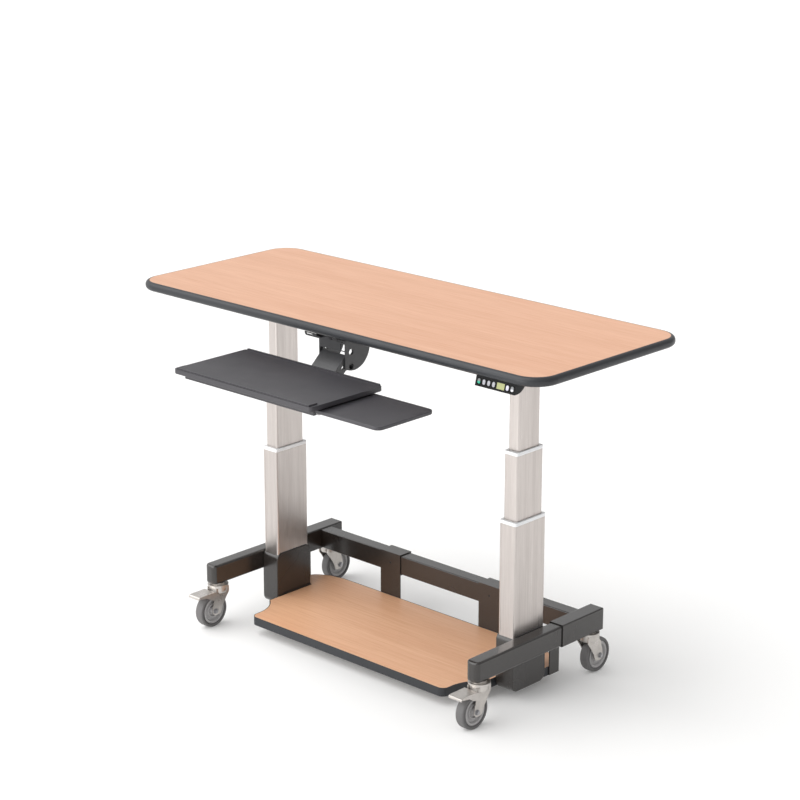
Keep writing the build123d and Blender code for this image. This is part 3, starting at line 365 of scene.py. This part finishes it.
def solid(name, build, material, body, bevel=0.0, joined=()):
    """A piece from build(bm), with bevelled edges. joined holds more such calls, united with the first."""
    parts = []
    for make in (build, *joined):
        bm = bmesh.new()
        make(bm)
        bmesh.ops.recalc_face_normals(bm, faces=bm.faces)
        mesh = bpy.data.meshes.new(name)
        bm.to_mesh(mesh)
        bm.free()
        parts.append(mesh)
    obj = placed(name, parts[0])
    helpers = []
    for mesh in parts[1:]:
        helper = placed(name + "_joined", mesh)
        helpers.append(helper)
        union = obj.modifiers.new("union", "BOOLEAN")
        union.operation = "UNION"
        union.solver = "EXACT"
        union.object = helper
    if helpers:
        bpy.context.view_layer.update()
        evaluated = obj.evaluated_get(bpy.context.evaluated_depsgraph_get())
        merged = bpy.data.meshes.new_from_object(evaluated)
        obj.modifiers.clear()
        obj.data = merged
        for helper in helpers:
            bpy.data.objects.remove(helper)
    soften_edges(obj, bevel, 40)
    dressed(obj, material, body)
    return obj


for node, obj in nodes.items():
    paint(obj, MATERIALS[slots[node]])
paint(nodes["handset_case"], faced())
paint(nodes["base_screws"], MATERIALS["black_plastic"])
# The shelf's laminate is a lighter copy of the worktop's: painted light, standing in for the light that
# falls on the shelf beneath the worktop.
SHELF_LAMINATE_PAINTED_LIGHT = laminate("shelf_laminate_painted_light", srgb(241, 190, 151), srgb(233, 178, 138), srgb(216, 156, 115),
                          srgb(196, 136, 97))

SOFT = {
    "corner_sleeves": 0.0025, "rear_crossbar": 0.002, "column_housings": 0.0015,
    "shelf_board": 0.0004, "worktop_board": 0.0004, "outer_tubes": 0.0006, "outer_glide_rings": 0.0012,
    "middle_glide_ring_left": 0.0012, "middle_glide_ring_right": 0.0012, "shelf_brackets": 0.0006,
    "control_box": 0.001, "mouse_tray": 0.0015, "keyboard_yoke": 0.0004,
    "keyboard_arm": 0.0006, "keyboard_link": 0.0004, "tilt_head": 0.0004,
}
# The shelf board takes the lighter laminate copy, its painted light.
for node, width in SOFT.items():
    softened(node, width, SHELF_LAMINATE_PAINTED_LIGHT if node == "shelf_board" else MATERIALS[slots[node]])


# ------------------------------------------------------------------ handset buttons


def button(node, upper, lower):
    """A narrow button with rounded ends and a domed top, lying on the handset's sloping face."""
    low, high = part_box(node)
    x, width = (low[0] + high[0]) / 2, (high[0] - low[0]) * 0.80
    lean = math.radians(15)
    up = Vector((0, math.sin(lean), math.cos(lean)))
    out = Vector((0, -math.cos(lean), math.sin(lean)))
    centre = Vector((x, (low[1] + high[1]) / 2, (low[2] + high[2]) / 2))
    length = (high[2] - low[2]) * 0.84
    outline = rounded([(-width / 2, -length / 2), (width / 2, -length / 2), (width / 2, length / 2),
                       (-width / 2, length / 2)], width * 0.46, 6)

    def build(bm):
        rows = []
        for depth, scale in ((-0.0011, 1.0), (0.0006, 1.0), (0.0010, 0.93), (0.0012, 0.82)):
            rows.append([bm.verts.new(centre + Vector((a * scale, 0, 0)) + up * b * scale + out * depth)
                         for a, b in outline])
        skin(bm, rows)

    material = two_tone(node, upper, lower, centre[2])
    piece = solid(node + "_cap", build, material, body_names[node])
    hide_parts(node)


for node, (upper, lower) in BUTTONS.items():
    button(node, upper, lower)


# ------------------------------------------------------------------ side rails


def bar(bm, x, z, width, height, corner, stations):
    """A bar along Y about x and z. stations holds (y, inset in x, inset in z), from front to back."""
    rows = []
    for y, in_x, in_z in stations:
        w, h = width / 2 - in_x, height / 2 - in_z
        section = rounded([(-w, -h), (w, -h), (w, h), (-w, h)], min(corner, 0.9 * w, 0.9 * h), 4)
        rows.append([bm.verts.new((x + a, y, z + b)) for a, b in section])
    skin(bm, rows)


def bullnose(front, radius_x, radius_z):
    """Stations of a rounded front end."""
    steps = 7
    out = []
    for i in range(steps + 1):
        t = max(radius_x, radius_z) * (1 - math.cos(math.pi / 2 * i / steps))
        insets = [r - math.sqrt(max(0, r * r - max(0, r - t) ** 2)) for r in (radius_x, radius_z)]
        out.append((front + t, *insets))
    return out


low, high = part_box("side_rails")
rail_z, rail_height = (low[2] + high[2]) / 2, high[2] - low[2]
rail_width = 0.043
sleeve_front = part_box("corner_sleeves")[0][1]
for side, x in (("left", low[0] + rail_width / 2), ("right", high[0] - rail_width / 2)):
    stations = bullnose(low[1], 0.0150, 0.0085) + [(high[1] - 0.002, 0, 0), (high[1], 0.002, 0.002)]
    rail = solid("rail_" + side, lambda bm: bar(bm, x, rail_z, rail_width, rail_height, 0.0065, stations),
                 MATERIALS["base_paint"], "base")
    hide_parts("side_rails")
    # A thin black collar just in front of each sleeve, a little larger than the rail: painted shade, a dark
    # piece standing for the shadow in the gap between sleeve and rail.
    gap_shadow_stations = [(sleeve_front - 0.0028, -0.0008, -0.0008), (sleeve_front + 0.0005, -0.0008, -0.0008)]
    solid("rail_shadow_collar_" + side, lambda bm: bar(bm, x, rail_z, rail_width, rail_height, 0.0045, gap_shadow_stations),
          MATERIALS["black_plastic"], "base")


low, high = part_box("column_housings")
housing_width, seal_width, seal_height = 0.063, 0.0022, 0.0055
front, back = low[1] + 0.022, high[1] - 0.002
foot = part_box("shelf_board")[1][2]
crest = foot + seal_height
strip = rounded([(front, foot), (back, foot), (back, crest), (front, crest)], [0, 0, 0.001, 0.001])
for side, x in (("left", low[0] + housing_width), ("right", high[0] - housing_width - seal_width)):
    solid("shelf_seal_" + side, lambda bm: prism(bm, strip, x, x + seal_width), MATERIALS["black_plastic"],
          body_names["shelf_board"], 0.0004)


# ------------------------------------------------------------------ casters


def caster(place):
    """One caster on its CAD nodes: a pressed fork, a ringed hub and a tyre with rounded shoulders."""
    low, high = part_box("caster_tyre_" + place)
    x, axle_y, axle_z = ((low[i] + high[i]) / 2 for i in range(3))
    radius, half = (high[2] - low[2]) / 2, (high[0] - low[0]) / 2
    hub_low, hub_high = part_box("caster_hub_" + place)
    rim = (hub_high[2] - hub_low[2]) / 2
    way = -1 if place.startswith("front") else 1
    trail, axle_half = 0.030, 0.0262
    swivel_y = axle_y - way * trail
    swivel_body, wheel_body = "caster_" + place, "wheel_" + place

    tread = [(-half, rim), (-half, radius - 0.0012), (-half * 0.55, radius), (half * 0.55, radius),
             (half, radius - 0.0012), (half, rim)]
    tread = rounded(tread, [0, 0.0045, 0.02, 0.02, 0.0045, 0])
    tyre = solid("tyre_" + place, lambda bm: lathe(bm, tread, (x, axle_y, axle_z), "X", 96),
                 MATERIALS["tyre_grey"], wheel_body)
    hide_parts("caster_tyre_" + place)

    right = [(0.0, 0.0052), (0.0159, 0.0052), (0.0159, 0.0095), (0.0135, 0.0105), (0.0060, 0.0125),
             (0.0060, 0.0175), (0.0108, 0.0185), (0.0112, 0.0215), (0.0060, 0.0228), (0.0060, 0.0298),
             (0.0108, 0.0320), (0.0128, 0.0335), (0.0128, 0.0368), (0.0118, 0.0374), (0.0118, rim)]
    profile = rounded(right + [(-w, r) for w, r in right[:0:-1]], 0.0005, 2)
    hub = solid("hub_" + place, lambda bm: lathe(bm, profile, (x, axle_y, axle_z), "X", 96),
                MATERIALS["grey_plastic"], wheel_body)
    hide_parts("caster_hub_" + place)

    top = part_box("caster_fork_" + place)[1][2]
    inside, outside = 0.0170, 0.0200

    def side(u, z):
        return (swivel_y + way * u, z)

    leg = [side(-0.025, top - 0.004), side(-0.025, 0.1000), side(-0.013, 0.0840), side(0.002, 0.0600),
           side(0.0095, 0.0390), side(0.0330, 0.0375), side(0.0425, 0.0470), side(0.0395, 0.0640),
           side(0.0345, 0.0800), side(0.0330, 0.0950), side(0.0250, 0.1010), side(0.0250, top - 0.004)]
    radii = [0, 0.012, 0.012, 0.02, 0.010, 0.010, 0.010, 0.02, 0.01, 0.006, 0.006, 0]
    if way > 0:
        leg, radii = leg[::-1], radii[::-1]
    leg = rounded(leg, radii)
    drum = rounded([(top - 0.0195, 0.0081), (top - 0.0195, 0.0255), (top - 0.0145, 0.0268), (top, 0.0268),
                    (top, 0.0081)], [0, 0.001, 0.003, 0.003, 0])
    pieces = [lambda bm: prism(bm, leg, x - outside, x - inside),
              lambda bm: prism(bm, leg, x + inside, x + outside)]
    fork = solid("fork_" + place, lambda bm: lathe(bm, drum, (x, swivel_y, 0), "Z"), MATERIALS["zinc"],
                 swivel_body, 0.0008, pieces)
    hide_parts("caster_fork_" + place)

    boss = ring((axle_y, axle_z), 0.0048, 32)
    washer = ring((axle_y, axle_z), 0.0085, 48)
    nut = ring((axle_y, axle_z), 0.0070, 6)
    ends = []
    for way_x in (-1, 1):
        a, b, c = (x + way_x * w for w in (outside, outside + 0.0008, outside + 0.0048))
        ends.append(lambda bm, a=a, b=b: prism(bm, washer, min(a, b), max(a, b)))
        ends.append(lambda bm, a=a, c=c: prism(bm, nut, min(a, c), max(a, c)))
    solid("axle_" + place, lambda bm: prism(bm, boss, x - axle_half, x + axle_half), MATERIALS["bare_steel"],
          swivel_body, 0.0005, ends)


def pedal(place):
    """The stamped pedal of a braked caster: a tread with a turned lip, between two cranked side plates."""
    low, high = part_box("brake_pedal_" + place)
    x, half = (low[0] + high[0]) / 2, (high[0] - low[0]) / 2
    wall = 0.0022
    front, back, top = low[1], high[1], high[2]
    pin_y = back - 0.0078
    cheek = rounded([
        (back - 0.0005, top - 0.0250), (back - 0.0005, top - 0.0120), (back - 0.0180, top - 0.0008),
        (front + 0.0060, top - 0.0008), (front + 0.0045, top - 0.0062), (front + 0.0330, top - 0.0105),
        (front + 0.0480, top - 0.0200), (pin_y - 0.0060, low[2] + 0.0008), (pin_y + 0.0030, low[2] + 0.0008),
    ], [0.003, 0.004, 0.006, 0.001, 0.002, 0.010, 0.010, 0.003, 0.003])
    tread = rounded([
        (back - 0.0190, top - wall), (front + 0.0032, top - wall), (front + 0.0010, top - 0.0085),
        (front, top - 0.0083), (front + 0.0008, top - 0.0020), (front + 0.0040, top), (back - 0.0190, top),
    ], [0, 0.002, 0.0003, 0.0003, 0.002, 0.003, 0])
    sides = [lambda bm: prism(bm, cheek, x - half, x - half + wall),
             lambda bm: prism(bm, cheek, x + half - wall, x + half)]
    piece = solid("pedal_" + place, lambda bm: prism(bm, tread, x - half, x + half), MATERIALS["zinc"],
                  body_names["brake_pedal_" + place], 0.0005, sides)
    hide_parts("brake_pedal_" + place)


for corner in ("front_left", "front_right", "rear_left", "rear_right"):
    caster(corner)
pedal("front_left")
pedal("front_right")


# ------------------------------------------------------------------ floor, light and camera


def sun(name, toward, strength, spread):
    """A broad, far light shining from the direction toward."""
    data = bpy.data.lights.new(name, "SUN")
    data.energy = strength
    data.angle = math.radians(spread)
    light = bpy.data.objects.new(name, data)
    light.rotation_euler = Vector(toward).to_track_quat("Z", "Y").to_euler()
    bpy.context.scene.collection.objects.link(light)


def area_light(name, place, target, size, power):
    """A rectangular light at place, aimed at target."""
    data = bpy.data.lights.new(name, "AREA")
    data.shape = "RECTANGLE"
    data.size, data.size_y = size
    data.energy = power
    light = bpy.data.objects.new(name, data)
    light.location = place
    aim = Vector(target) - Vector(place)
    light.rotation_euler = aim.to_track_quat("-Z", "Y").to_euler()
    bpy.context.scene.collection.objects.link(light)


def studio():
    """The pale floor and surroundings, the two lights and the camera."""
    mesh = bpy.data.meshes.new("floor")
    corners = [(-60, -60, 0), (60, -60, 0), (60, 60, 0), (-60, 60, 0)]
    mesh.from_pydata(corners, [], [(0, 1, 2, 3)])
    floor = placed("floor", mesh)
    m = Nodes("studio_floor")
    soft = m.noise(m.mapped((2, 2, 2)), 2)
    m.set(
        Base_Color=m.mix(soft, (0.86, 0.857, 0.85, 1), (0.88, 0.877, 0.87, 1)),
        Roughness=m.ramp(soft, 0.3, 0.7, 0.78, 0.84),
        Emission_Color=(1.0, 0.995, 0.985, 1.0),
        Emission_Strength=0.10,
        Specular_IOR_Level=0.2,
    )
    mesh.materials.append(m.material)

    world = bpy.data.worlds.new("studio")
    bpy.context.scene.world = world
    world.use_nodes = True
    tree = world.node_tree
    coords = tree.nodes.new("ShaderNodeTexCoord")
    facing = tree.nodes.new("ShaderNodeVectorMath")
    facing.operation = "DOT_PRODUCT"
    facing.inputs[1].default_value = (-0.75, -0.66, 0.0)
    tree.links.new(coords.outputs["Generated"], facing.inputs[0])
    spread = tree.nodes.new("ShaderNodeMapRange")
    for key, number in (("From Min", -1.0), ("From Max", 1.0), ("To Min", 0.46), ("To Max", 1.12)):
        spread.inputs[key].default_value = number
    tree.links.new(facing.outputs["Value"], spread.inputs["Value"])
    tree.links.new(spread.outputs["Result"], tree.nodes["Background"].inputs["Strength"])
    tree.nodes["Background"].inputs["Color"].default_value = (1, 1, 1, 1)
    sun("key", (-0.50, -0.62, 1.0), 1.75, 70)
    area_light("front_fill", (-0.6, -3.6, 1.1), (0, 0, 0.2), (3.2, 1.4), 34)

    camera_data = bpy.data.cameras.new("camera")
    camera_data.sensor_width = 36
    camera_data.lens = 101.64
    camera_data.clip_end = 200
    camera = bpy.data.objects.new("camera", camera_data)
    azimuth, elevation = math.radians(43.29), math.radians(16.99)
    level = math.cos(elevation)
    back = Vector((math.sin(azimuth) * level, -math.cos(azimuth) * level, math.sin(elevation)))
    camera.location = (4.1589, -4.4077, 2.6012)
    camera.rotation_euler = (-back).to_track_quat("-Z", "Y").to_euler()
    bpy.context.scene.collection.objects.link(camera)
    bpy.context.scene.camera = camera
    bpy.context.scene.view_settings.view_transform = "Standard"


studio()
